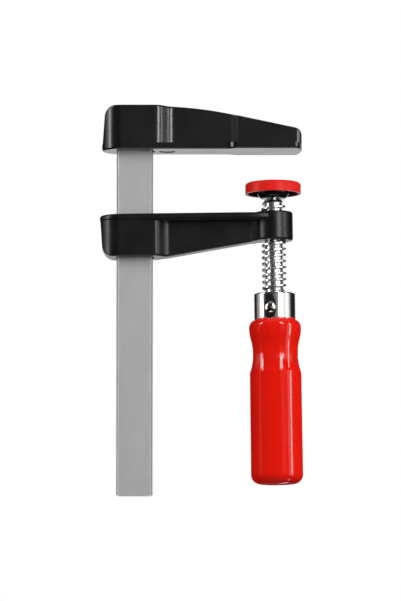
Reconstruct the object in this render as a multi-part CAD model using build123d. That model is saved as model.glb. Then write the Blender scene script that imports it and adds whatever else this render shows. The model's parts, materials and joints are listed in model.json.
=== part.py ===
"""Light bar clamp: a fixed jaw on a serrated rail, a sliding arm, and a screw with a wooden handle.

Millimetres, +Z up along the rail. The origin is on the fixed jaw's clamping face, where the screw axis
meets it when the arm stands square to the rail. The rail lies towards -X, and the clamp's sides face
+Y and -Y.
"""

import os
from math import acos, asin, atan, ceil, cos, degrees, inf, radians, sin, sqrt, tan

from build123d import *

# Rail
throat = 49.3
rail_width = 15.0
rail_thickness = 5.0
rail_below_jaw = 141.4
rail_in_jaw = 13.0
rail_corner = 0.8
tooth_pitch = 1.0
tooth_depth = 0.5
tooth_bevel_width = 0.6
tooth_bevel_depth = 0.75
face_bevel_width = 0.4
face_bevel_depth = 0.28

# Cross section that both castings share
boss_width = 16.0
web_width = 7.8
flange_ledge = 0.5
rear_ledge = 0.1
edge_round = 0.9
flange_edge = 0.9

# Fixed jaw
jaw_height = 18.3
jaw_back_wall = 6.0
jaw_nose = 11.7
jaw_flange = 2.5
jaw_front_wall = 0.8
jaw_shoulder = 8.0
jaw_lean = 1.35
jaw_back_round = 4.6
jaw_nose_round = 3.4
jaw_nose_step = 0.2
jaw_bend_radius = 150.0
jaw_slope = 12.0
jaw_slot_play = 0.6
tip_length = 26.5
tip_width = 9.4
tip_blend = 1.6
tip_nose_round = 2.2
tip_flange_width = 20.6
tip_flange_blend = 4.5
tip_crown = 1.9
tip_corner = 1.6
mark_diameter = 6.6
mark_depth = 0.25
mark_from_rail = 5.7

# Sliding arm
arm_gap = 26.7
arm_height = 17.35
arm_back_wall = 6.7
arm_flange = 1.9
arm_front_wall = 0.4
arm_shoulder = 6.4
arm_lean = 1.0
arm_back_round = 5.0
arm_web_above_hub_end = 0.9
arm_foot = 5.6
arm_foot_round = 12.0
arm_cant = 0.7
arm_slot_play = 0.6
arm_side_play = 0.2
ledge_height = 1.1
ledge_sink = 0.1
hub_diameter = 15.8
hub_height = 11.8
hub_stand = 0.8
hub_round = 0.9
hub_blend = 3.0
root_width = 10.6
root_reach = 8.8
root_step = 0.9

# Screw
thread_diameter = 10.0
thread_clearance = 0.05
thread_below_hub = 20.1
thread_lead_in = 3.0
core_diameter = 7.2
core_below_thread = 1.65
thread_run_out = 0.8
ball_diameter = 5.8
neck_diameter = 4.4
neck_gap = 0.65
tang_diameter = 7.0
tang_in_handle = 52.0
tang_end_gap = 0.5

# Swivelling pad
pad_gap = 13.8
cap_diameter = 22.8
cap_height = 4.5
cap_wall = 1.1
cap_top = 1.0
cap_round = 1.2
grip_wall = 1.0
grip_height = 1.2
grip_clearance = 0.03
plate_diameter = 13.8
plate_rim = 1.3
plate_height = 5.5
plate_base = 9.0
plate_top = 0.6
ball_clearance = 0.06
ring_wire = 0.9
ring_clearance = 0.03
ring_room = 0.4
ring_depth = 0.6
ring_gap = 40.0

# Handle and ferrule
ferrule_diameter = 17.0
ferrule_length = 11.0
ferrule_wall = 0.9
ferrule_round = 0.6
handle_length = 66.8
bulge_diameter = 21.2
bulge_at = 2.7
waist_diameter = 18.4
waist_at = 13.1
grip_diameter = 21.0
grip_at = 21.4
end_diameter = 21.2
end_round = 3.8
wood_clearance = 0.04
wood_below_ferrule_top = 0.5
pin_diameter = 3.0
pin_head = 4.6
pin_head_rim = 0.3
pin_head_rise = 0.9
pin_from_top = 6.2
pin_turn = 14.0
dish_radius = 22.0
dish_depth = 0.55
pin_seat = 0.15
pin_clearance = 0.03

# Places that follow from the sizes
flange_width = boss_width + 2 * flange_ledge
rail_middle = -(throat + rail_width / 2)
arm_middle = -(arm_gap + arm_height / 2)
arm_bottom = -(arm_gap + arm_height)
hub_top = hub_stand - arm_gap
hub_bottom = hub_top - hub_height
plate_level = -(pad_gap + cap_top)
plate_bottom = plate_level - plate_height
ball_radius = ball_diameter / 2
ball_level = plate_level - plate_top - ball_clearance - ball_radius
thread_top = plate_bottom - neck_gap
thread_bottom = hub_bottom - thread_below_hub
ferrule_top = thread_bottom - core_below_thread
handle_top = ferrule_top - ferrule_length
handle_bottom = handle_top - handle_length
pin_level = ferrule_top - pin_from_top
wood_top = ferrule_top - wood_below_ferrule_top
tang_bottom = wood_top - tang_in_handle
socket_radius = ball_radius + ball_clearance
ring_radius = ball_radius - ring_depth + ring_clearance + ring_wire / 2
pin_seat_at = ferrule_diameter / 2 - dish_depth + pin_seat

# The arm stands slightly off square on the rail, and everything that it carries stands with it
arm_pivot = Pos(rail_middle, 0, arm_middle)
arm_place = arm_pivot * Rot(0, -arm_cant, 0) * arm_pivot.inverse()

# The cross pin's axis, with +Z out to the front
pin_place = Pos(0, 0, pin_level) * Rot(0, 0, -pin_turn) * Rot(90, 0, 0)


def on_side(outline, width):
    """A side view in X and Z, made solid to a width that is centred on the clamp's middle plane."""
    return extrude(Plane.XZ * outline, amount=width / 2, both=True)


def in_plan(outline, low, high):
    """A plan view in X and Y, made solid from one height to another."""
    return extrude(Pos(0, 0, low) * outline, amount=high - low)


def turned(outline, turn=360):
    """A half section in radius and Z, turned round the Z axis."""
    return revolve(Plane.XZ * outline, Axis.Z, turn)


def blend(start, end, wide, narrow):
    """The S-shaped run of a plan outline from one half width to another."""
    middle = (start + end) / 2
    return Bezier((start, wide), (middle, wide), (middle, narrow), (end, narrow))


def both_halves(edges):
    """A closed plan outline from the edges of its +Y half, which starts and ends on the X axis."""
    half = Curve() + edges
    return make_face((half + mirror(half, Plane.XZ)).edges())


def round_back(back, half_width, join):
    """The first edges of such a half: a full round rear end and the straight side after it."""
    return [
        CenterArc((back + half_width, 0), half_width, 90, 90),
        Line((back + half_width, half_width), (join, half_width)),
    ]


def upper_edges(solid, level):
    """The edges of a casting that lie wholly above a level."""
    return solid.edges().filter_by(lambda edge: edge.bounding_box().min.Z > level)


def lower_edges(solid, level, front=inf):
    """The edges of a casting that lie wholly below a level, as far as an X to the front."""
    below = solid.edges().filter_by(lambda edge: edge.bounding_box().max.Z < level)
    return below.filter_by(lambda edge: edge.bounding_box().max.X < front)


def corner_at(outline, x, y):
    """The corner of a plane outline that lies nearest to a point."""
    return outline.vertices().sort_by_distance((x, y, 0))[0]


def make_rail():
    """Flat bar with V teeth and two bevels, one steep and one shallow, along both narrow edges."""
    half = rail_width / 2
    bottom = -rail_below_jaw
    first = ceil(rail_corner / tooth_pitch)
    last = int(rail_below_jaw / tooth_pitch)
    right = [(half - rail_corner, bottom), (half, bottom + rail_corner)]
    for tooth in range(first, last):
        crest = bottom + tooth * tooth_pitch
        right += [(half, crest), (half - tooth_depth, crest + tooth_pitch / 2)]
    right += [(half, bottom + last * tooth_pitch), (half, rail_in_jaw)]
    left = [(-x, z) for x, z in reversed(right)]
    toothed = on_side(make_face(Polyline(right + left, close=True)), rail_thickness)

    face = rail_thickness / 2
    bevel = [
        (half, face - face_bevel_depth - tooth_bevel_depth),
        (half - tooth_bevel_width, face - face_bevel_depth),
        (half - tooth_bevel_width - face_bevel_width, face),
    ]
    back = bevel + [(-x, y) for x, y in reversed(bevel)]
    front = [(x, -y) for x, y in reversed(back)]
    bevelled = in_plan(make_face(Polyline(back + front, close=True)), bottom, rail_in_jaw)
    return Pos(rail_middle, 0, 0) * (toothed & bevelled)


def make_fixed_jaw():
    """Thick boss round the rail, a web that tapers to the nose, and a flange as the clamping face."""
    back = rail_middle - rail_width / 2 - jaw_back_wall
    body_back = back + rear_ledge
    join = jaw_front_wall - throat
    shoulder_end = join + jaw_shoulder
    tip = jaw_nose - tip_length
    body_nose = jaw_nose - jaw_nose_step
    half_boss = boss_width / 2
    half_web = web_width / 2
    half_tip = tip_width / 2
    plan = both_halves(
        round_back(body_back, half_boss, join)
        + [
            blend(join, shoulder_end, half_boss, half_web),
            Line((shoulder_end, half_web), (tip - tip_blend, half_web)),
            blend(tip - tip_blend, tip, half_web, half_tip),
            Line((tip, half_tip), (body_nose, half_tip)),
            Line((body_nose, half_tip), (body_nose, 0)),
        ]
    )
    plan = fillet([corner_at(plan, body_nose, y) for y in (-half_tip, half_tip)], tip_nose_round)

    bend_end = join + jaw_bend_radius * sin(radians(jaw_slope))
    bend_height = jaw_height - jaw_bend_radius * (1 - cos(radians(jaw_slope)))
    nose_height = bend_height - (body_nose - bend_end) * tan(radians(jaw_slope))
    side = make_face(
        [
            Line((body_back, 0), (body_nose, 0)),
            Line((body_nose, 0), (body_nose, nose_height)),
            Line((body_nose, nose_height), (bend_end, bend_height)),
            CenterArc((join, jaw_height - jaw_bend_radius), jaw_bend_radius, 90 - jaw_slope, jaw_slope),
            Line((join, jaw_height), (body_back + jaw_lean, jaw_height)),
            Line((body_back + jaw_lean, jaw_height), (body_back, 0)),
        ]
    )
    side = fillet(corner_at(side, body_back + jaw_lean, jaw_height), jaw_back_round)
    side = fillet(corner_at(side, body_nose, nose_height), jaw_nose_round)

    half_flange = flange_width / 2
    half_tip_flange = tip_flange_width / 2
    shoulder = jaw_nose - tip_crown
    face = both_halves(
        round_back(back, half_flange, tip - tip_flange_blend)
        + [
            blend(tip - tip_flange_blend, tip, half_flange, half_tip_flange),
            Line((tip, half_tip_flange), (shoulder, half_tip_flange)),
            TangentArc((jaw_nose, 0), (shoulder, half_tip_flange), tangent=(0, 1)),
        ]
    )
    face = fillet([corner_at(face, shoulder, y) for y in (-half_tip_flange, half_tip_flange)], tip_corner)
    casting = (in_plan(plan, 0, jaw_height) & on_side(side, boss_width)) + in_plan(face, 0, jaw_flange)
    casting = fillet(upper_edges(casting, jaw_flange + edge_round), edge_round)
    casting = fillet(lower_edges(casting, flange_edge), flange_edge)
    slot = Box(
        rail_width + jaw_slot_play,
        rail_thickness,
        rail_in_jaw,
        align=(Align.MIN, Align.CENTER, Align.MIN),
    )
    casting -= Pos(rail_middle - rail_width / 2, 0, 0) * slot
    mark = Cylinder(mark_diameter / 2, mark_depth, align=(Align.CENTER, Align.CENTER, Align.MIN))
    return casting - Pos(mark_from_rail - throat, 0, 0) * mark


def make_sliding_arm():
    """Boss with a long slot for the rail, a flanged web that tapers below, and a hub for the screw."""
    back = rail_middle - rail_width / 2 - arm_back_wall
    body_back = back + rear_ledge
    join = arm_front_wall - throat
    shoulder_end = join + arm_shoulder
    foot = arm_foot - throat
    web_bottom = hub_bottom + arm_web_above_hub_end
    half_boss = boss_width / 2
    half_web = web_width / 2
    half_flange = flange_width / 2
    half_hub = hub_diameter / 2
    half_root = root_width / 2
    flange_front = -half_hub - hub_blend
    plan = both_halves(
        round_back(body_back, half_boss, join)
        + [
            blend(join, shoulder_end, half_boss, half_web),
            Line((shoulder_end, half_web), (-root_reach - root_step, half_web)),
            blend(-root_reach - root_step, -root_reach, half_web, half_root),
            Line((-root_reach, half_root), (0, half_root)),
            Line((0, half_root), (0, 0)),
        ]
    )
    plan += Circle(half_hub)
    seam = -sqrt(half_hub**2 - half_root**2)
    plan = fillet([corner_at(plan, seam, y) for y in (-half_root, half_root)], hub_blend)
    side = make_face(
        Polyline(
            (body_back, -arm_gap),
            (0, -arm_gap),
            (0, web_bottom),
            (foot, arm_bottom),
            (body_back + arm_lean, arm_bottom),
            close=True,
        )
    )
    side = fillet(corner_at(side, body_back + arm_lean, arm_bottom), arm_back_round)
    side = fillet(corner_at(side, foot, arm_bottom), arm_foot_round)
    flange = both_halves(
        round_back(back, half_flange, flange_front)
        + [
            TangentArc((flange_front, half_flange), (0, half_hub - hub_round), tangent=(1, 0)),
            Line((0, half_hub - hub_round), (0, 0)),
        ]
    )
    ledge_level = -arm_gap - arm_flange
    ledge_taper = degrees(atan((flange_ledge + ledge_sink) / ledge_height))
    casting = in_plan(plan, arm_bottom, -arm_gap - flange_edge) & on_side(side, boss_width)
    slab = in_plan(flange, ledge_level, -arm_gap)
    rim = upper_edges(slab, -arm_gap - flange_edge).filter_by(lambda edge: edge.center().X < -hub_round)
    casting += fillet(rim, flange_edge)
    casting += extrude(Pos(0, 0, ledge_level) * flange, amount=-ledge_height, taper=ledge_taper)
    casting = fillet(lower_edges(casting, ledge_level - ledge_height - edge_round, -edge_round), edge_round)

    hub = in_plan(Circle(half_hub), hub_bottom, hub_top)
    casting += fillet(hub.edges().filter_by(GeomType.CIRCLE), hub_round)
    bore = Cylinder(thread_diameter / 2 + thread_clearance, 2 * hub_height)
    casting -= Pos(0, 0, hub_bottom) * bore
    slot = Box(rail_width + arm_slot_play, rail_thickness + 2 * arm_side_play, 2 * arm_height)
    return casting - Pos(rail_middle, 0, arm_middle) * slot


def make_spindle():
    """Screw blank at the thread's outside diameter, with a grooved ball on top and a tang below."""
    neck = neck_diameter / 2
    thread = thread_diameter / 2
    core = core_diameter / 2
    tang = tang_diameter / 2
    neck_turn = degrees(acos(neck / ball_radius))
    neck_top = ball_level - ball_radius * sin(radians(neck_turn))
    blank = turned(
        make_face(
            [
                Line((0, tang_bottom), (0, ball_level + ball_radius)),
                CenterArc((0, ball_level), ball_radius, -neck_turn, neck_turn + 90),
                Polyline(
                    (neck, neck_top),
                    (neck, thread_top),
                    (core, thread_top),
                    (thread, thread_top - thread_lead_in),
                    (thread, thread_bottom),
                    (core, thread_bottom - thread_run_out),
                    (core, wood_top),
                    (tang, wood_top),
                    (tang, tang_bottom),
                    (0, tang_bottom),
                ),
            ]
        )
    )
    groove = Pos(0, 0, ball_level) * (
        Cylinder(ball_diameter, ring_wire + 2 * ring_clearance)
        - Cylinder(ball_radius - ring_depth, ring_wire + 2 * ring_clearance)
    )
    return blank - groove - pin_hole()


def make_retaining_ring():
    """Split ring of round wire in the groove round the ball."""
    return turned(Pos(ring_radius, ball_level) * Circle(ring_wire / 2), 360 - ring_gap)


def make_pressure_plate():
    """Domed plate with a socket that fits the ball, and a groove inside that snaps over the ring."""
    rim = plate_diameter / 2
    rim_level = plate_level - plate_rim
    base = plate_base / 2
    ring_half_room = ring_wire / 2 + ring_room
    groove = ring_radius + ring_half_room
    socket_turn = degrees(asin(ring_half_room / socket_radius))
    socket = socket_radius * cos(radians(socket_turn))
    return turned(
        make_face(
            [
                Polyline(
                    (0, ball_level + socket_radius),
                    (0, plate_level),
                    (rim, plate_level),
                    (rim, rim_level),
                ),
                Bezier(
                    (rim, rim_level),
                    (rim, (rim_level + plate_bottom) / 2),
                    ((rim + base) / 2, plate_bottom),
                    (base, plate_bottom),
                ),
                Polyline(
                    (base, plate_bottom),
                    (socket_radius, plate_bottom),
                    (socket_radius, ball_level - ring_half_room),
                    (groove, ball_level - ring_half_room),
                    (groove, ball_level + ring_half_room),
                    (socket, ball_level + ring_half_room),
                ),
                CenterArc((0, ball_level), socket_radius, socket_turn, 90 - socket_turn),
            ]
        )
    )


def make_pressure_cap():
    """Shallow cap, open below, with a ring inside that grips the plate's rim."""
    outer = cap_diameter / 2
    inner = outer - cap_wall
    grip = plate_diameter / 2 + grip_clearance
    cap_bottom = -pad_gap - cap_height
    outline = make_face(
        Polyline(
            (0, plate_level),
            (grip, plate_level),
            (grip, plate_level - grip_height),
            (grip + grip_wall, plate_level - grip_height),
            (grip + grip_wall, plate_level),
            (inner, plate_level),
            (inner, cap_bottom),
            (outer, cap_bottom),
            (outer, -pad_gap),
            (0, -pad_gap),
            close=True,
        )
    )
    return turned(fillet(corner_at(outline, outer, -pad_gap), cap_round))


def make_ferrule():
    """Sleeve on the neck of the handle, dished round both ends of the cross pin."""
    outer = ferrule_diameter / 2
    inner = outer - ferrule_wall
    outline = Pos(inner, handle_top) * Rectangle(ferrule_wall, ferrule_length, align=Align.MIN)
    sleeve = turned(fillet(corner_at(outline, outer, ferrule_top), ferrule_round))
    for way in (1, -1):
        dish_centre = Pos(0, 0, way * (outer - dish_depth + dish_radius))
        sleeve -= pin_place * dish_centre * Sphere(dish_radius)
    return sleeve - pin_hole()


def make_handle():
    """Turned wooden handle: a neck for the ferrule, a bulge, a waist and a long grip with a round end."""
    tang = tang_diameter / 2 + wood_clearance
    tang_hole_bottom = tang_bottom - tang_end_gap
    neck = ferrule_diameter / 2 - ferrule_wall - wood_clearance
    shoulder = ferrule_diameter / 2
    bulge = bulge_diameter / 2
    bulge_level = handle_top - bulge_at
    waist = waist_diameter / 2
    waist_level = handle_top - waist_at
    grip = grip_diameter / 2
    grip_level = handle_top - grip_at
    middle = (bulge_level + waist_level) / 2
    end = end_diameter / 2
    outline = make_face(
        [
            Polyline(
                (0, tang_hole_bottom),
                (tang, tang_hole_bottom),
                (tang, wood_top),
                (neck, wood_top),
                (neck, handle_top),
                (shoulder, handle_top),
            ),
            Bezier(
                (shoulder, handle_top),
                ((shoulder + bulge) / 2, handle_top),
                (bulge, (handle_top + bulge_level) / 2),
                (bulge, bulge_level),
            ),
            Bezier((bulge, bulge_level), (bulge, middle), (waist, middle), (waist, waist_level)),
            TangentArc((waist, waist_level), (grip, grip_level), tangent=(0, -1)),
            Polyline((grip, grip_level), (end, handle_bottom), (0, handle_bottom), (0, tang_hole_bottom)),
        ]
    )
    return turned(fillet(corner_at(outline, end, handle_bottom), end_round)) - pin_hole()


def pin_hole():
    """What the cross pin's hole takes out of ferrule, wood and tang."""
    return pin_place * Cylinder(pin_diameter / 2 + pin_clearance, 2 * ferrule_diameter)


def make_cross_pin():
    """Pin through ferrule, wood and tang, with a low domed head seated in each dish."""
    edge = pin_head / 2
    rim_at = pin_seat_at + pin_head_rim
    top_at = rim_at + pin_head_rise
    head = turned(
        make_face(
            [
                Polyline((0, top_at), (0, pin_seat_at), (edge, pin_seat_at), (edge, rim_at)),
                TangentArc((0, top_at), (edge, rim_at), tangent=(1, 0)),
            ]
        )
    )
    pin = Cylinder(pin_diameter / 2, 2 * pin_seat_at) + head + mirror(head, Plane.XY)
    return pin_place * pin


def write(parts):
    """One file for each piece."""
    os.makedirs("parts", exist_ok=True)
    for name, piece in parts.items():
        export_step(piece, f"parts/{name}.step")


if __name__ == "__main__":
    on_the_rail = {"rail": make_rail(), "fixed_jaw": make_fixed_jaw()}
    on_the_arm = {
        "sliding_arm": make_sliding_arm(),
        "spindle": make_spindle(),
        "retaining_ring": make_retaining_ring(),
        "pressure_plate": make_pressure_plate(),
        "pressure_cap": make_pressure_cap(),
        "ferrule": make_ferrule(),
        "handle": make_handle(),
        "cross_pin": make_cross_pin(),
    }
    write(on_the_rail | {name: arm_place * piece for name, piece in on_the_arm.items()})
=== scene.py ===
"""Screw clamp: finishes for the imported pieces, the spindle's thread, and the studio round them."""

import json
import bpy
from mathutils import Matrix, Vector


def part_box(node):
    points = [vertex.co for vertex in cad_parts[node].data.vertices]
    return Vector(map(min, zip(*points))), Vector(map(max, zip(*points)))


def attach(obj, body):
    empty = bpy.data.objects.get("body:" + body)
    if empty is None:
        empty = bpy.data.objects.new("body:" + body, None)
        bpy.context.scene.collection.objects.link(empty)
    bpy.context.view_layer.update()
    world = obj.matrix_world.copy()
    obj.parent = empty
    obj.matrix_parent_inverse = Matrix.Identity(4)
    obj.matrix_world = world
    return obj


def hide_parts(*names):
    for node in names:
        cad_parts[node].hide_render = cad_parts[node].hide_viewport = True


bl_info = {
    "name": "Screw clamp",
    "version": (1, 0, 0),
    "blender": (4, 5, 0),
    "location": "View3D > Sidebar > Clamp",
    "description": "Dresses a bar clamp with its thread, plating, paint and lacquer, and lights it",
    "category": "Object",
}

from math import atan2, cos, pi, radians, sin

import bpy
import numpy as np
from bpy.props import FloatProperty, FloatVectorProperty, IntProperty, PointerProperty
from mathutils import Vector

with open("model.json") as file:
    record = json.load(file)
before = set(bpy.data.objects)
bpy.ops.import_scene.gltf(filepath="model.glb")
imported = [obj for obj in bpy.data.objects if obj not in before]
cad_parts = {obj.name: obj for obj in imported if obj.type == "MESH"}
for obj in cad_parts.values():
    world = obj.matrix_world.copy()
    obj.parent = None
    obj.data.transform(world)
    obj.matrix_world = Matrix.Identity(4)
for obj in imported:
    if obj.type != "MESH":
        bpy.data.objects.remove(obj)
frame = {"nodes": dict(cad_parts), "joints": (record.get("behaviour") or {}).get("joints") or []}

# The frame is in metres, and the sizes below are in millimetres
MM = 0.001
MICRON = 0.000001

# The screw's axis runs up through the ball's centre and leans in the XZ plane, as the arm does
SCREW = next(joint for joint in frame["joints"] if joint["name"] == "screw_turn")
SCREW_AXIS = Vector(SCREW["axis"]).normalized()
BALL_CENTRE = Vector(SCREW["pos_m"])
SCREW_LEAN = atan2(SCREW_AXIS.x, SCREW_AXIS.z)

LAMPS = ("right_strip", "left_strip", "right_box", "left_window", "right_window")


def size(name, description, default):
    """A property for a size in millimetres."""
    return FloatProperty(name=name, description=f"{description}, in millimetres", default=default, min=0.0)


def place(name, description, default):
    """A property for a place along an axis in millimetres, on either side of the origin."""
    return FloatProperty(name=name, description=f"{description}, in millimetres", default=default)


def colour(name, description, default):
    """A property for a linear colour."""
    return FloatVectorProperty(
        name=name, description=description, default=default, size=3, subtype="COLOR", min=0.0, max=1.0
    )


def share(name, description, default, high=1.0):
    """A property for a roughness, a gloss or a strength, from nothing up to a highest value."""
    return FloatProperty(
        name=name, description=description, default=default, min=0.0, max=high, subtype="FACTOR"
    )


def lamp_place(name, turn, rise):
    """A property for a lamp's direction, given in degrees to the right of the front and upwards."""
    text = "Turn to the right of the front, and rise, seen from the clamp"
    angles = (radians(turn), radians(rise))
    return FloatVectorProperty(name=name, description=text, default=angles, size=2, unit="ROTATION")


def lamp_size(name, width, height):
    """A property for a lamp's width and height in metres."""
    text = "Width and height of the lamp's face"
    return FloatVectorProperty(name=name, description=text, default=(width, height), size=2, unit="LENGTH")


def lamp_light(name, radiance):
    """A property for how bright a lamp's face is, where 1 is white."""
    return FloatProperty(name=name, description="Brightness of the lamp's face", default=radiance, min=0.0)


class SpindleSettings(bpy.types.PropertyGroup):
    """Sizes of the screw along its own axis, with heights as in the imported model."""

    thread_diameter: size("Thread diameter", "Outside diameter of the thread", 10.0)
    core_diameter: size("Core diameter", "Diameter at the root of the thread", 7.2)
    pitch: size("Pitch", "Rise of the right-hand thread in one turn", 2.5)
    crest_width: size("Crest width", "Width of the flat on top of the thread", 0.62)
    flank_width: size("Flank width", "Distance along the axis from crest to root", 0.56)
    thread_phase: place("Phase", "Height of a crest on the +X side", -1.0)
    thread_top: place("Thread top", "Level where the thread starts", -20.95)
    lead_in: size("Lead-in", "Length over which the first crests grow", 2.0)
    thread_bottom: place("Thread bottom", "Level where the thread ends", -57.8)
    run_out: size("Run-out", "Length over which the last crest falls to the core", 0.8)
    ball_diameter: size("Ball diameter", "Ball on which the pad swivels", 5.8)
    ball_level: place("Ball level", "Height of the ball's centre", -18.36)
    neck_diameter: size("Neck diameter", "Neck under the ball", 4.4)
    neck_edge: size("Neck edge", "Bevel where the neck meets the thread's end", 0.12)
    ring_groove: size("Ring groove", "Width of the groove for the retaining ring", 0.96)
    ring_depth: size("Ring groove depth", "Depth of the groove for the retaining ring", 0.6)
    tang_diameter: size("Tang diameter", "Plain end inside the handle", 7.0)
    tang_top: place("Tang top", "Level of the shoulder on the wood", -59.95)
    tang_bottom: place("Tang bottom", "Level of the tang's end", -111.95)
    tang_edge: size("Tang edge", "Bevel round the tang's end", 0.4)
    hub_top: place("Hub top", "Upper end of the hub's thread", -26.15)
    hub_bottom: place("Hub bottom", "Lower end of the hub's thread", -37.4)
    hub_wall: size("Hub wall", "Diameter at which the hub's thread is rooted in the casting", 10.5)
    play: size("Play", "Room between the spindle's thread and the hub's", 0.06)
    columns: IntProperty(name="Columns", description="Points round the screw", default=72, min=12, max=360)


class FinishSettings(bpy.types.PropertyGroup):
    """Colours and gloss of the clamp's finishes."""

    paint: colour("Casting paint", "Black paint on jaw and arm", (0.0058, 0.0055, 0.0058))
    jaw_roughness: share("Jaw roughness", "Roughness of the fixed jaw's paint", 0.19)
    jaw_gloss: share("Jaw gloss", "Strength of the fixed jaw's gloss", 0.7)
    arm_roughness: share("Arm roughness", "Roughness of the sliding arm's paint", 0.28)
    arm_gloss: share("Arm gloss", "Strength of the sliding arm's gloss", 0.4)
    web_step: place("Web step", "Middle of the upright strip of matt paint on the jaw's web", -15.9)
    steel: colour("Rail steel", "Ground and plated rail", (0.665, 0.675, 0.665))
    steel_roughness: share("Rail roughness", "Roughness of the rail's flat sides", 0.45)
    tooth_zone: size("Tooth zone", "Width of the dull strip that the teeth are cut in", 0.6)
    bevel_zone: size("Bevel zone", "Width of the strip with teeth and both bevels", 1.0)
    plating: colour("Plating", "Bright plating of the spindle", (0.78, 0.80, 0.82))
    warm_plating: colour("Ferrule plating", "Bright plating of ferrule and cross pin", (0.82, 0.80, 0.77))
    plating_roughness: share("Plating roughness", "Roughness of the bright plating", 0.14)
    plate: colour("Pressure plate", "Black plate under the cap", (0.007, 0.008, 0.009))
    cap: colour("Cap plastic", "Red plastic of the cap", (0.80, 0.014, 0.009))
    cap_inside: size("Cap inside", "Radius of the cap's shaded inside", 10.4)
    cap_skin: size("Cap skin", "Depth below the cap's face where its shaded inside may start", 0.6)
    lacquer: colour("Handle lacquer", "Red lacquer of the handle", (0.80, 0.011, 0.005))
    lacquer_coat: share("Lacquer coat", "Clear coat on the lacquer, away from its polished places", 0.04)
    lacquer_edge: size("Lacquer edge", "How far the lacquer climbs on the ferrule", 1.0)
    grain: share("Grain", "How far the wood's grain shows through the lacquer", 0.14)
    wood: colour("Bare wood", "Wood inside the ferrule", (0.10, 0.055, 0.03))


class StageSettings(bpy.types.PropertyGroup):
    """Camera, lamps and surroundings."""

    view_height: FloatProperty(
        name="View height", description="Height of the picture at the clamp", default=0.2453, unit="LENGTH"
    )
    distance: FloatProperty(name="Distance", description="Camera to clamp", default=1.8, unit="LENGTH")
    lift: FloatProperty(
        name="Lift", description="Camera's height angle", default=radians(-7.0), unit="ROTATION"
    )
    target: FloatVectorProperty(
        name="Target",
        description="Point at the picture's centre",
        default=(-0.02992, 0.0, -0.06148),
        unit="LENGTH",
    )
    floor: FloatProperty(name="Floor", description="Floor's level", default=-0.62, unit="LENGTH")
    floor_radius: FloatProperty(
        name="Floor radius", description="Radius of the round floor", default=0.35, unit="LENGTH"
    )
    lamp_distance: FloatProperty(
        name="Lamp distance", description="Lamps to clamp", default=0.9, unit="LENGTH"
    )
    right_strip_place: lamp_place("Right strip", 70, 7)
    right_strip_size: lamp_size("Right strip size", 0.06, 0.75)
    right_strip_light: lamp_light("Right strip light", 8)
    right_box_place: lamp_place("Right box", 34, 7)
    right_box_size: lamp_size("Right box size", 0.30, 0.36)
    right_box_light: lamp_light("Right box light", 5)
    left_strip_place: lamp_place("Left strip", -76, 7)
    left_strip_size: lamp_size("Left strip size", 0.16, 0.75)
    left_strip_light: lamp_light("Left strip light", 5.5)
    left_window_place: lamp_place("Left window", -68, 29)
    left_window_size: lamp_size("Left window size", 0.09, 0.40)
    left_window_light: lamp_light("Left window light", 12)
    right_window_place: lamp_place("Right window", 31, 29)
    right_window_size: lamp_size("Right window size", 0.19, 0.42)
    right_window_light: lamp_light("Right window light", 8)
    fill: share("Fill", "Even light from the right front, falling to none opposite", 0.84, 4.0)
    fill_turn: FloatProperty(
        name="Fill turn",
        description="Where the even light is brightest, to the right of the front",
        default=radians(35.0),
        unit="ROTATION",
    )
    back_fill: share("Back fill", "Even light from behind", 0.65, 4.0)


SETTINGS = {"clamp_spindle": SpindleSettings, "clamp_finish": FinishSettings, "clamp_stage": StageSettings}


class Signal:
    """A number that varies over a surface. Sums and products of signals add their Math nodes."""

    def __init__(self, finish, socket):
        self.finish = finish
        self.socket = socket

    def maths(self, operation, *numbers):
        """Adds one Math node that works on numbers or signals."""
        return self.finish.node("ShaderNodeMath", {"operation": operation}, dict(enumerate(numbers)))

    def __add__(self, other):
        return self.maths("ADD", self, other)

    def __radd__(self, other):
        return self.maths("ADD", other, self)

    def __sub__(self, other):
        return self.maths("SUBTRACT", self, other)

    def __rsub__(self, other):
        return self.maths("SUBTRACT", other, self)

    def __mul__(self, other):
        return self.maths("MULTIPLY", self, other)

    def __rmul__(self, other):
        return self.maths("MULTIPLY", other, self)

    def __truediv__(self, other):
        return self.maths("DIVIDE", self, other)

    def __neg__(self):
        return self.maths("SUBTRACT", 0.0, self)

    def __abs__(self):
        return self.maths("ABSOLUTE", self)


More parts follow.
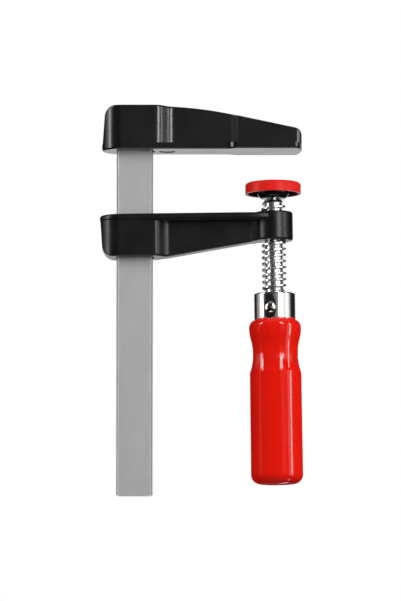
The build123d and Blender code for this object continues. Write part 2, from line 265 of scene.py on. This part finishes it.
class Finish:
    """The node tree of one material or of the world."""

    def __init__(self, tree):
        self.tree = tree
        tree.nodes.clear()

    def node(self, kind, settings=None, inputs=None, output=0):
        """Adds a node: first its settings, then its sockets' values or links.

        Gives the output with that number or name as a signal.
        """
        made = self.tree.nodes.new(kind)
        for name, value in (settings or {}).items():
            setattr(made, name, value)
        for key, value in (inputs or {}).items():
            if isinstance(value, Signal):
                self.tree.links.new(value.socket, made.inputs[key])
            else:
                made.inputs[key].default_value = value
        return Signal(self, made.outputs[output])

    def parts(self, vector):
        """The three numbers of a vector."""
        first = self.node("ShaderNodeSeparateXYZ", {}, {0: vector})
        return [Signal(self, socket) for socket in first.socket.node.outputs]

    def place(self, scale=(1, 1, 1), origin=(0, 0, 0), lean=0.0):
        """Object coordinates, measured from an origin, turned back by a lean about Y, and scaled."""
        point = self.node("ShaderNodeTexCoord", output="Object")
        moved = self.node("ShaderNodeVectorMath", {"operation": "SUBTRACT"}, {0: point, 1: origin})
        turned = {"Vector": moved, "Rotation": (0, lean, 0)}
        upright = self.node("ShaderNodeMapping", {"vector_type": "TEXTURE"}, turned)
        return self.node("ShaderNodeVectorMath", {"operation": "MULTIPLY"}, {0: upright, 1: scale})

    def on_screw(self, stretch=1.0, origin=BALL_CENTRE):
        """Object coordinates upright on the screw's axis. A low stretch draws patterns out along it."""
        return self.place((1, 1, stretch), tuple(origin), SCREW_LEAN)

    def noise(self, point, scale, detail=3.0, rough=0.5):
        """Soft noise from 0 to 1, with about so many lumps to the metre."""
        sockets = {"Vector": point, "Scale": scale, "Detail": detail, "Roughness": rough}
        return self.node("ShaderNodeTexNoise", {}, sockets)

    def turn(self, across, behind):
        """The turn round the clamp in radians, from nothing at the front, more to the right."""
        return across.maths("ARCTAN2", across, -behind)

    def span(self, signal, low, high, to_low=0.0, to_high=1.0):
        """Carries a signal smoothly from one range to another and stops at both ends."""
        sockets = {0: signal, 1: low, 2: high, 3: to_low, 4: to_high}
        return self.node("ShaderNodeMapRange", {"interpolation_type": "SMOOTHSTEP"}, sockets)

    def spread(self, noise, low=0.0, high=1.0):
        """Spreads the middle of a noise, where most of it lies, over a range."""
        return self.span(noise, 0.3, 0.7, low, high)

    def band(self, signal, rise, fall):
        """One between two edges and nothing outside. Each edge is soft from a first value to a second."""
        return self.span(signal, *rise) * self.span(signal, *fall, 1.0, 0.0)

    def either(self, first, second):
        """One where at least one of two masks is one."""
        return first + second - first * second

    def blend(self, factor, first, second):
        """A colour between two colours."""
        first, second = [end if isinstance(end, Signal) else (*end, 1.0) for end in (first, second)]
        ends = {0: factor, 6: first, 7: second}
        return self.node("ShaderNodeMix", {"data_type": "RGBA"}, ends, output=2)

    def bump(self, height, microns, under=None):
        """A normal from a height of 0 to 1 that stands for so many thousandths of a millimetre."""
        sockets = {"Height": height, "Distance": microns * MICRON, "Strength": 1.0}
        if under:
            sockets["Normal"] = under
        return self.node("ShaderNodeBump", {}, sockets)

    def rays(self):
        """Two masks: what the camera sees itself, and what it sees by way of gloss or glass."""
        kinds = ("Is Camera Ray", "Is Glossy Ray", "Is Transmission Ray")
        sockets = self.node("ShaderNodeLightPath").socket.node.outputs
        camera, gloss, glass = [Signal(self, sockets[kind]) for kind in kinds]
        return camera, gloss + glass

    def surface(self, **sockets):
        """The Principled shader with these values and links, on the material's output."""
        named = {key.replace("_", " "): value for key, value in sockets.items()}
        self.put_out(self.node("ShaderNodeBsdfPrincipled", {}, named), "ShaderNodeOutputMaterial")

    def put_out(self, shader, kind):
        """Links a shader to an output node of its kind."""
        made = self.tree.nodes.new(kind)
        self.tree.links.new(shader.socket, made.inputs["Surface"])


def new_material(name):
    """An empty node material and its finish."""
    material = bpy.data.materials.new(name)
    material.use_nodes = True
    return material, Finish(material.node_tree)


def paint_node(name, material):
    """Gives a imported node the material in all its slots."""
    for slot in frame["nodes"][name].material_slots:
        slot.material = material


def tint(shade, part=1.0):
    """A colour at a part of its brightness."""
    return tuple(part * value for value in shade)


def plating_material(name, choice, metal, tone=1.0, rougher=0.0, ripple=2):
    """Bright plating with a faint cloud and fine grain.

    The tone darkens it, rougher adds to its roughness, and the ripple is its unevenness in microns.
    """
    material, finish = new_material(name)
    point = finish.place()
    cloud = finish.noise(point, 350, 3.0)
    grain = finish.noise(point, 3200, 3.0)
    waves = finish.noise(point, 700, 1.0)
    bright = tint(metal, tone)
    roughness = choice.plating_roughness + rougher
    finish.surface(
        Base_Color=finish.blend(finish.spread(cloud), tint(bright, 0.92), bright),
        Metallic=1.0,
        Roughness=finish.spread(grain, roughness - 0.03, roughness + 0.05),
        Normal=finish.bump(grain, 4, finish.bump(waves, ripple)),
    )
    return material


def merged(points, faces):
    """Joins points nearer than a tenth of a micron, and drops the corners and faces that this empties.

    A face with two neighbouring corners on one point becomes a triangle, and with more it is left out.
    """
    points, back = np.unique(np.round(points, 7), axis=0, return_inverse=True)
    faces = back.reshape(-1)[faces]
    repeats = faces == np.roll(faces, 1, axis=1)
    count = repeats.sum(axis=1)
    folded = (faces[:, 0] == faces[:, 2]) | (faces[:, 1] == faces[:, 3])
    quads = faces[(count == 0) & ~folded]
    once = count == 1
    triangles = faces[once][~repeats[once]].reshape(-1, 3)
    return points, quads.tolist() + triangles.tolist()


def skin(name, x, y, z, closed_rows=False):
    """Makes a mesh object from a grid of points in millimetres, rows by columns.

    The face at row r and column c has the corners (r, c), (r + 1, c), (r + 1, c + 1) and (r, c + 1). The
    last column repeats the first, so points that fall together are merged: the seam closes, and so do
    the poles. With closed_rows the last row joins the first.
    """
    rows, columns = x.shape
    points = np.stack([x, y, z], axis=-1).reshape(-1, 3) * MM
    row = np.arange(rows if closed_rows else rows - 1)[:, None]
    column = np.arange(columns - 1)[None, :]
    below = (row + 1) % rows
    corners = [row * columns + column, below * columns + column]
    corners += [below * columns + column + 1, row * columns + column + 1]
    points, faces = merged(points, np.stack(corners, axis=-1).reshape(-1, 4))
    mesh = bpy.data.meshes.new(name)
    mesh.from_pydata(points, [], faces)
    mesh.validate()
    mesh.update()
    mesh.shade_smooth()
    made = bpy.data.objects.new(name, mesh)
    bpy.context.scene.collection.objects.link(made)
    return made


def sharpen(made, degrees_apart=32):
    """Keeps the edges crisp where two faces meet at more than an angle."""
    made.data.set_sharp_from_angle(angle=radians(degrees_apart))


def on_screw_axis(spindle, radius, angle, height):
    """Points of the screw, placed where the arm's lean puts them.

    On the upright screw a point is radius times cos and sin of its angle, and its level over the ball is
    its height less the ball's. Then it turns by the lean about Y, and the ball's centre is added:
    x cos(lean) + level sin(lean), y, and level cos(lean) - x sin(lean).
    """
    x = radius * np.cos(angle)
    y = radius * np.sin(angle)
    level = height - spindle.ball_level
    centre = BALL_CENTRE / MM
    return (
        centre.x + x * cos(SCREW_LEAN) + level * sin(SCREW_LEAN),
        centre.y + y,
        centre.z - x * sin(SCREW_LEAN) + level * cos(SCREW_LEAN),
    )


def thread_radius(spindle, angle, height, play=0.0):
    """Radius of the right-hand trapezoidal thread at an angle and a height.

    The height less the climb, pitch x angle / 2 pi, gives the distance along the axis to the nearest
    crest's middle. Past half the crest's width the flank falls to the root, s being the way along it:
    a straight line, 0.4 s, and a smooth step, 0.6 (3 s^2 - 2 s^3), which eases both corners. The play
    widens the form and lifts it by that much.
    """
    turns = (height - spindle.thread_phase) / spindle.pitch - angle / (2 * pi)
    away = np.abs((turns + 0.5) % 1.0 - 0.5) * spindle.pitch
    along = np.clip((away - spindle.crest_width / 2 - play) / spindle.flank_width, 0.0, 1.0)
    eased = 0.4 * along + 0.6 * along * along * (3 - 2 * along)
    crest = spindle.thread_diameter / 2
    root = spindle.core_diameter / 2
    return crest + (root - crest) * eased + play


def thread_grid(spindle, top, bottom):
    """Angles and heights of a grid whose rows climb with the thread and stop at two levels.

    A row's height is phase + a whole number of pitches + its step + pitch x angle / 2 pi. The steps in one
    pitch lie closest where the flanks bend, and are the same above a crest's middle as below it.
    """
    half = spindle.crest_width / 2
    flank = spindle.flank_width
    pitch = spindle.pitch
    upwards = [0, half * 0.7] + [half + flank * along for along in (0, 0.12, 0.35, 0.65, 0.88, 1)]
    upwards = np.array(upwards + [half + flank + 0.08, pitch / 2])
    steps = np.concatenate([upwards, pitch - upwards[-2:0:-1]])
    # Two pitches to spare at either end, because a row climbs by one on its way round
    first = int(np.floor((bottom - spindle.thread_phase) / pitch)) - 2
    last = int(np.ceil((top - spindle.thread_phase) / pitch)) + 2
    levels = (np.arange(first, last)[:, None] * pitch + steps[None, :]).reshape(-1, 1)
    angle = np.linspace(0, 2 * pi, spindle.columns + 1)[None, :]
    height = np.clip(spindle.thread_phase + levels + pitch * angle / (2 * pi), bottom, top)
    return np.broadcast_to(angle, height.shape), height[::-1]


def between_rings(above, angle, radius, height, below):
    """Adds plain rings, given as pairs of radius and height, above and below a grid round the screw."""
    wide = np.ones(angle.shape[1])
    above, below = [np.asarray(rings)[:, :, None] * wide for rings in (above, below)]
    radius = np.vstack([above[:, 0], radius, below[:, 0]])
    height = np.vstack([above[:, 1], height, below[:, 1]])
    return radius, np.broadcast_to(angle[:1], radius.shape), height


def arc(radius, level, first, last, count):
    """Pairs of radius and height on a ball: radius x cos(rise), and level + radius x sin(rise)."""
    rise = np.linspace(first, last, count)
    return np.stack([radius * np.cos(rise), level + radius * np.sin(rise)], axis=1)


def ball_rings(spindle):
    """The ball from its pole down, with the ring's square groove round its middle, and the neck."""
    ball = spindle.ball_diameter / 2
    neck = spindle.neck_diameter / 2
    groove = spindle.ring_groove / 2
    root = ball - spindle.ring_depth
    level = spindle.ball_level
    top = spindle.thread_top
    groove_at = np.arcsin(groove / ball)
    return np.vstack([
        arc(ball, level, pi / 2, groove_at, 14),
        [(root, level + groove), (root, level - groove)],
        arc(ball, level, -groove_at, -np.arccos(neck / ball), 8),
        [(neck, top + spindle.neck_edge), (neck + spindle.neck_edge, top), (spindle.core_diameter / 2, top)],
    ])


def tang_rings(spindle):
    """The shoulder that stands on the wood, and the tang with its bevelled end."""
    tang = spindle.tang_diameter / 2
    top = spindle.tang_top
    bottom = spindle.tang_bottom
    edge = spindle.tang_edge
    core = spindle.core_diameter / 2
    return [(core, top), (tang, top), (tang, bottom + edge), (tang - edge, bottom), (0.0, bottom)]


class CLAMP_OT_rail(bpy.types.Operator):
    """Ground steel for the rail, with its grinding lines along the bar"""

    bl_idname = "clamp.rail"
    bl_label = "Rail"

    def execute(self, context):
        choice = context.scene.clamp_finish
        low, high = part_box("rail")
        half_width = (high.x - low.x) / 2
        half_depth = high.y
        material, finish = new_material("rail_ground_steel")
        point = finish.place((1, 1, 1), ((low.x + high.x) / 2, 0, 0))
        lines = finish.noise(finish.place((1, 1, 0.02)), 9000, 4.0, 0.6)
        cloud = finish.noise(point, 120, 3.0)
        fine = finish.noise(point, 6000, 2.0)
        across, depth, _ = finish.parts(point)
        out = abs(across)
        blur = 0.04

        def edge_strip(width):
            """One within so many millimetres of the narrow edges."""
            inner, outer = [half_width - (width + offset) * MM for offset in (blur, -blur)]
            return finish.span(out, inner, outer)

        # The last two shades are painted shade for the gaps between the teeth
        shades = [tint(choice.steel, part) for part in (1.0, 0.96, 0.55, 0.50, 0.06)]
        bright, dark, dull, right_gap_shade, left_gap_shade = shades
        flat = finish.blend(finish.span(cloud + 0.5 * lines, 0.45, 1.05), dark, bright)
        # Near the broad sides the gaps between the teeth carry painted shade: near black on the left edge,
        # and a lighter grey on the right, towards the brighter light
        gaps = finish.blend(finish.span(across, -MM, MM), left_gap_shade, right_gap_shade)
        near_side = finish.span(abs(depth), half_depth - 0.9 * MM, half_depth - 0.3 * MM)
        gaps = finish.blend(near_side, dull, gaps)
        bevels = finish.blend(edge_strip(choice.bevel_zone), flat, dull)
        roughness = choice.steel_roughness
        finish.surface(
            Base_Color=finish.blend(edge_strip(choice.tooth_zone), bevels, gaps),
            Metallic=0.75,
            Roughness=finish.spread(lines, roughness - 0.05, roughness + 0.06),
            Normal=finish.bump(lines + 0.3 * fine, 6),
        )
        paint_node("rail", material)
        return {"FINISHED"}


class CLAMP_OT_castings(bpy.types.Operator):
    """Black baked paint for the fixed jaw and the sliding arm"""

    bl_idname = "clamp.castings"
    bl_label = "Castings"

    def execute(self, context):
        choice = context.scene.clamp_finish
        looks = {
            "fixed_jaw": (choice.jaw_roughness, choice.jaw_gloss),
            "sliding_arm": (choice.arm_roughness, choice.arm_gloss),
        }
        for name, (roughness, gloss) in looks.items():
            material, finish = new_material(name + "_black_paint")
            point = finish.place()
            peel = finish.noise(point, 1500, 2.0)
            speck = finish.noise(point, 2600, 2.0)
            cloud = finish.noise(point, 90, 3.0)
            # Matt in an upright strip of the jaw's web, above its flange. The arm lies below that level
            along, _, level = finish.parts(point)
            aside = abs(along - choice.web_step * MM)
            matt = finish.span(aside, 0.9 * MM, 1.4 * MM, 0.7, 0.0)
            matt = matt * finish.span(level, 2.7 * MM, 3.1 * MM)
            mottle = finish.span(speck + 0.5 * cloud, 0.55, 0.95)
            finish.surface(
                Base_Color=finish.blend(mottle, tint(choice.paint, 0.6), tint(choice.paint, 1.5)),
                Roughness=matt + finish.span(cloud + 0.4 * speck, 0.5, 0.9, roughness, roughness + 0.05),
                Specular_IOR_Level=gloss,
                Normal=finish.bump(speck, 1.5, finish.bump(peel, 4)),
            )
            paint_node(name, material)
        return {"FINISHED"}


class CLAMP_OT_spindle(bpy.types.Operator):
    """Spindle with its ball, right-hand trapezoidal thread and tang, in bright plating"""

    bl_idname = "clamp.spindle"
    bl_label = "Spindle"

    def execute(self, context):
        part = context.scene.clamp_spindle
        choice = context.scene.clamp_finish
        core = part.core_diameter / 2
        height_of_crest = part.thread_diameter / 2 - core
        bottom = part.thread_bottom - part.run_out
        angle, height = thread_grid(part, part.thread_top, bottom)
        # The crests grow out of the core over the lead-in, and sink back into it over the run-out
        lead = (part.thread_top - height) / part.lead_in * height_of_crest
        end = (height - bottom) / part.run_out * height_of_crest
        limit = core + np.maximum(np.minimum(lead, end), 0.0)
        radius = np.minimum(thread_radius(part, angle, height), limit)
        grid = between_rings(ball_rings(part), angle, radius, height, tang_rings(part))
        made = skin("threaded_spindle", *on_screw_axis(part, *grid))
        plating = plating_material("spindle_plating_bright", choice, choice.plating, 1.0, 0.12, 250)
        made.data.materials.append(plating)
        sharpen(made)
        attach(made, "screw")
        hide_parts("spindle")
        return {"FINISHED"}


class CLAMP_OT_hub_thread(bpy.types.Operator):
    """Thread inside the hub, which meets the spindle's"""

    bl_idname = "clamp.hub_thread"
    bl_label = "Hub thread"

    def execute(self, context):
        part = context.scene.clamp_spindle
        choice = context.scene.clamp_finish
        angle, height = thread_grid(part, part.hub_top, part.hub_bottom)
        radius = thread_radius(part, angle, height, part.play)
        top, bottom = [[(part.hub_wall / 2, level)] for level in (part.hub_top, part.hub_bottom)]
        grid = on_screw_axis(part, *between_rings(top, angle, radius, height, bottom))
        # The rows run the other way, so that the thread faces inwards and the wall outwards
        made = skin("hub_thread", *[axis[::-1] for axis in grid], closed_rows=True)
        made.data.materials.append(plating_material("hub_thread_cut", choice, choice.plating, 0.25, 0.45))
        sharpen(made)
        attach(made, "arm")
        return {"FINISHED"}


class CLAMP_OT_pad(bpy.types.Operator):
    """Red plastic cap, black pressure plate and the retaining ring in it"""

    bl_idname = "clamp.pad"
    bl_label = "Pad"

    def execute(self, context):
        choice = context.scene.clamp_finish
        self.colour_cap(choice)
        material, finish = new_material("plate_black_gloss")
        peel = finish.noise(finish.place(), 1300, 2.0)
        finish.surface(
            Base_Color=finish.blend(finish.spread(peel), tint(choice.plate), tint(choice.plate, 1.6)),
            Roughness=finish.spread(peel, 0.10, 0.16),
            Specular_IOR_Level=0.35,
            Normal=finish.bump(peel, 5),
        )
        paint_node("pressure_plate", material)
        paint_node("retaining_ring", plating_material("ring_spring_steel", choice, choice.plating, 0.5, 0.3))
        return {"FINISHED"}

    def colour_cap(self, choice):
        """Red plastic with painted shade inside it: darkened below the skin of the face, and within a radius
        of the axis.
        """
        material, finish = new_material("cap_red_plastic")
        point = finish.place()
        mottle = finish.noise(point, 900, 3.0)
        grain = finish.noise(point, 4500, 2.0)
        flat = finish.on_screw(0)
        out = finish.node("ShaderNodeVectorMath", {"operation": "LENGTH"}, {0: flat}, output="Value")
        level = finish.parts(finish.on_screw())[2]
        skin_at = (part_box("pressure_cap")[1].z - BALL_CENTRE.z) - choice.cap_skin * MM
        blur = 0.1
        rim = finish.span(out, (choice.cap_inside - blur) * MM, (choice.cap_inside + blur) * MM)
        face = finish.span(level, skin_at - blur * MM, skin_at + blur * MM)
        red = finish.blend(finish.spread(mottle), tint(choice.cap, 0.88), tint(choice.cap))
        finish.surface(
            # Painted shade: the hollow inside of the cap is a fifth as bright as its red
            Base_Color=finish.blend(finish.either(rim, face), tint(choice.cap, 0.2), red),
            Roughness=finish.spread(grain, 0.30, 0.38),
            Specular_IOR_Level=0.14,
            Normal=finish.bump(grain, 4),
        )
        paint_node("pressure_cap", material)


class CLAMP_OT_ferrule(bpy.types.Operator):
    """Bright ferrule with the lacquer's wavy edge on it, and the cross pin"""

    bl_idname = "clamp.ferrule"
    bl_label = "Ferrule and pin"

    def execute(self, context):
        choice = context.scene.clamp_finish
        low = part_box("ferrule")[0]
        material, finish = new_material("ferrule_plating_bright")
        axis_foot = BALL_CENTRE - SCREW_AXIS * (BALL_CENTRE.z - low.z)
        point = finish.on_screw(1, axis_foot)
        grain = finish.noise(point, 2600, 3.0)
        # Round the axis the noise runs from about 0.28 to 0.67, which the climb stretches to the full edge
        wave = finish.noise(finish.on_screw(0, axis_foot), 130, 1.0)
        climb = choice.lacquer_edge * 2.6 * (wave - 0.28)
        bare = finish.span(finish.parts(point)[2] / MM - climb, -0.06, 0.06)
        bright = tint(choice.warm_plating)
        plating = finish.blend(finish.spread(grain), tint(bright, 0.94), bright)
        roughness = choice.plating_roughness
        finish.surface(
            Base_Color=finish.blend(bare, tint(choice.lacquer), plating),
            Metallic=bare,
            Roughness=finish.spread(grain, roughness - 0.03, roughness + 0.04),
            Normal=finish.bump(grain, 3, finish.bump(1 - bare, 80)),
        )
        paint_node("ferrule", material)
        paint_node("cross_pin", plating_material("pin_plating_bright", choice, choice.warm_plating))
        return {"FINISHED"}


class CLAMP_OT_handle(bpy.types.Operator):
    """Red lacquer over turned wood"""

    bl_idname = "clamp.handle"
    bl_label = "Handle"

    def execute(self, context):
        choice = context.scene.clamp_finish
        material, finish = new_material("handle_red_lacquer")
        grain = finish.noise(finish.on_screw(0.09), 1100, 4.0, 0.6)
        ripple = finish.noise(finish.on_screw(0.5), 480, 2.0)
        wave = finish.noise(finish.on_screw(0.35), 120, 2.0)
        across, behind, _ = finish.parts(finish.on_screw())
        level = finish.parts(finish.place())[2]
        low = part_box("ferrule")[0].z

        # The wood is bare inside the ferrule, from a little above its lower end
        bare = finish.span(level, low + 1.5 * MM, low + 1.7 * MM)
        deep = tint(choice.lacquer, 1 - 0.5 * choice.grain)
        red = finish.blend(finish.span(grain, 0.35, 0.65), deep, tint(choice.lacquer))

        # The clear coat is full on the shoulder, round the waist, and in a wavy run down the right front
        shoulder = finish.span(level, low - 2.6 * MM, low - 1.8 * MM)
        waist = finish.band(level, (low - 21.6 * MM, low - 19.6 * MM), (low - 15.0 * MM, low - 13.5 * MM))
        wander = finish.turn(across, behind) + 0.16 * (wave - 0.5)
        run = finish.band(wander, (0.42, 0.50), (0.62, 0.72))
        polished = finish.either(run, shoulder + waist)
        finish.surface(
            Base_Color=finish.blend(bare, red, tint(choice.wood)),
            Roughness=finish.spread(grain, 0.34, 0.42),
            Specular_IOR_Level=0.0,
            Coat_Weight=choice.lacquer_coat + (1 - choice.lacquer_coat) * polished,
            Coat_IOR=1.62,
            Coat_Roughness=0.03,
            Normal=finish.bump(grain, 6, finish.bump(ripple, 20, finish.bump(wave, 120))),
        )
        paint_node("handle", material)
        return {"FINISHED"}


class CLAMP_OT_stage(bpy.types.Operator):
    """Camera, side lamps, floor and white surroundings"""

    bl_idname = "clamp.stage"
    bl_label = "Stage"

    def execute(self, context):
        scene = context.scene
        stage = scene.clamp_stage
        self.add_camera(scene, stage)
        self.add_lamps(scene, stage)
        self.add_floor(stage)
        self.light_world(scene, stage)
        scene.view_settings.view_transform = "Standard"
        return {"FINISHED"}

    def add_camera(self, scene, stage):
        """A camera in front that looks at the target. Its lens fits the view's height to the picture's."""
        sensor = 36
        back = Vector((0, -cos(stage.lift), sin(stage.lift)))
        lens = bpy.data.cameras.new("clamp_camera")
        lens.sensor_width = sensor
        lens.lens = sensor * stage.distance / stage.view_height
        lens.clip_start = 0.05
        lens.clip_end = 20
        camera = bpy.data.objects.new("clamp_camera", lens)
        camera.location = Vector(stage.target) + stage.distance * back
        camera.rotation_euler = (-back).to_track_quat("-Z", "Y").to_euler()
        scene.collection.objects.link(camera)
        scene.camera = camera

    def add_lamps(self, scene, stage):
        """Flat lamps that face the target. A lamp's power is pi times its face's area and brightness."""
        for name in LAMPS:
            turn, rise = getattr(stage, name + "_place")
            width, height = getattr(stage, name + "_size")
            light = bpy.data.lights.new(name, "AREA")
            light.shape = "RECTANGLE"
            light.size = width
            light.size_y = height
            light.energy = getattr(stage, name + "_light") * pi * width * height
            toward = Vector((cos(rise) * sin(turn), -cos(rise) * cos(turn), sin(rise)))
            made = bpy.data.objects.new(name, light)
            made.location = Vector(stage.target) + stage.lamp_distance * toward
            made.rotation_euler = toward.to_track_quat("Z", "Y").to_euler()
            scene.collection.objects.link(made)

    def add_floor(self, stage):
        """A flat round floor, white to the camera and in the gloss of the clamp."""
        radius = np.array([[0.0], [stage.floor_radius / MM]])
        angle = np.linspace(0, 2 * pi, 97)[None, :]
        level = np.full((2, angle.size), stage.floor / MM)
        made = skin("floor", radius * np.cos(angle), radius * np.sin(angle), level)
        material, finish = new_material("floor_white")
        camera, mirrored = finish.rays()
        speck = finish.noise(finish.place(), 3.0, 2.0)
        finish.surface(
            Base_Color=finish.blend(speck, (0.86, 0.86, 0.86), (0.9, 0.9, 0.9)),
            Roughness=0.9,
            Emission_Color=finish.blend(camera + mirrored, (0, 0, 0), (0.45, 0.45, 0.45)),
            Emission_Strength=1.0,
        )
        made.data.materials.append(material)

    def light_world(self, scene, stage):
        """White behind the clamp and an even fill, with a dark studio and bright side walls in its gloss.

        A way into the world has its parts to the right, to the back and up, from -1 to 1, and its turn
        to the right of the front in radians.
        """
        world = bpy.data.worlds.new("studio")
        world.use_nodes = True
        scene.world = world
        finish = Finish(world.node_tree)
        camera, mirrored = finish.rays()
        across, behind, up = finish.parts(finish.node("ShaderNodeTexCoord", output="Generated"))
        turn = finish.turn(across, behind)

        # A bright right wall with a dimmer seam in it and a faint glow round it, a left wall whose far
        # part is dim, a white screen behind and a weak ceiling
        right = finish.band(turn, (0.35, 0.43), (1.38, 1.72))
        seam = finish.band(turn, (0.86, 0.91), (0.99, 1.04))
        glow = finish.band(turn, (-0.35, 0.18), (1.45, 1.85))
        left = finish.band(turn, (-2.12, -2.02), (-1.21, -1.09))
        left = left * finish.span(turn, -1.85, -1.72, 0.25, 1.0)
        walls = 0.012 + 0.19 * glow * (1 - right) + right - 0.12 * seam + left
        walls = walls * finish.band(up, (-0.50, -0.28), (0.28, 0.40))
        studio = walls + finish.span(behind, 0.86, 0.95) + 0.2 * finish.span(up, 0.66, 0.84)

        # The even fill is brightest at one turn to the right of the front, and weak from below
        facing = sin(stage.fill_turn) * across - cos(stage.fill_turn) * behind
        fill = stage.fill * finish.span(facing, -0.8, 1.0)
        fill = fill + stage.back_fill * finish.span(behind, 0.0, 1.0)
        fill = fill * finish.span(up, -0.7, 0.3, 0.03, 1.0)

        light = (1 - mirrored) * fill + mirrored * studio
        strength = light * (1 - camera) + camera
        shader = finish.node("ShaderNodeBackground", {}, {"Color": (1, 1, 1, 1), "Strength": strength})
        finish.put_out(shader, "ShaderNodeOutputWorld")


OPERATORS = (
    CLAMP_OT_stage,
    CLAMP_OT_rail,
    CLAMP_OT_castings,
    CLAMP_OT_spindle,
    CLAMP_OT_hub_thread,
    CLAMP_OT_pad,
    CLAMP_OT_ferrule,
    CLAMP_OT_handle,
)


class CLAMP_PT_sidebar(bpy.types.Panel):
    """Lists the clamp's sizes, finishes and steps"""

    bl_idname = "CLAMP_PT_sidebar"
    bl_label = "Screw clamp"
    bl_space_type = "VIEW_3D"
    bl_region_type = "UI"
    bl_category = "Clamp"

    def draw(self, context):
        for name, group in SETTINGS.items():
            box = self.layout.box()
            for key in group.__annotations__:
                box.prop(getattr(context.scene, name), key)
        for operator in OPERATORS:
            self.layout.operator(operator.bl_idname)


CLASSES = (*SETTINGS.values(), *OPERATORS, CLAMP_PT_sidebar)


def register():
    for each in CLASSES:
        bpy.utils.register_class(each)
    for name, group in SETTINGS.items():
        setattr(bpy.types.Scene, name, PointerProperty(type=group))


def unregister():
    for name in SETTINGS:
        delattr(bpy.types.Scene, name)
    for each in reversed(CLASSES):
        bpy.utils.unregister_class(each)


def main():
    """Registers the clamp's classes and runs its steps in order."""
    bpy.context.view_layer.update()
    register()
    for operator in OPERATORS:
        group, step = operator.bl_idname.split(".")
        getattr(getattr(bpy.ops, group), step)()


if __name__ == "__main__":
    main()
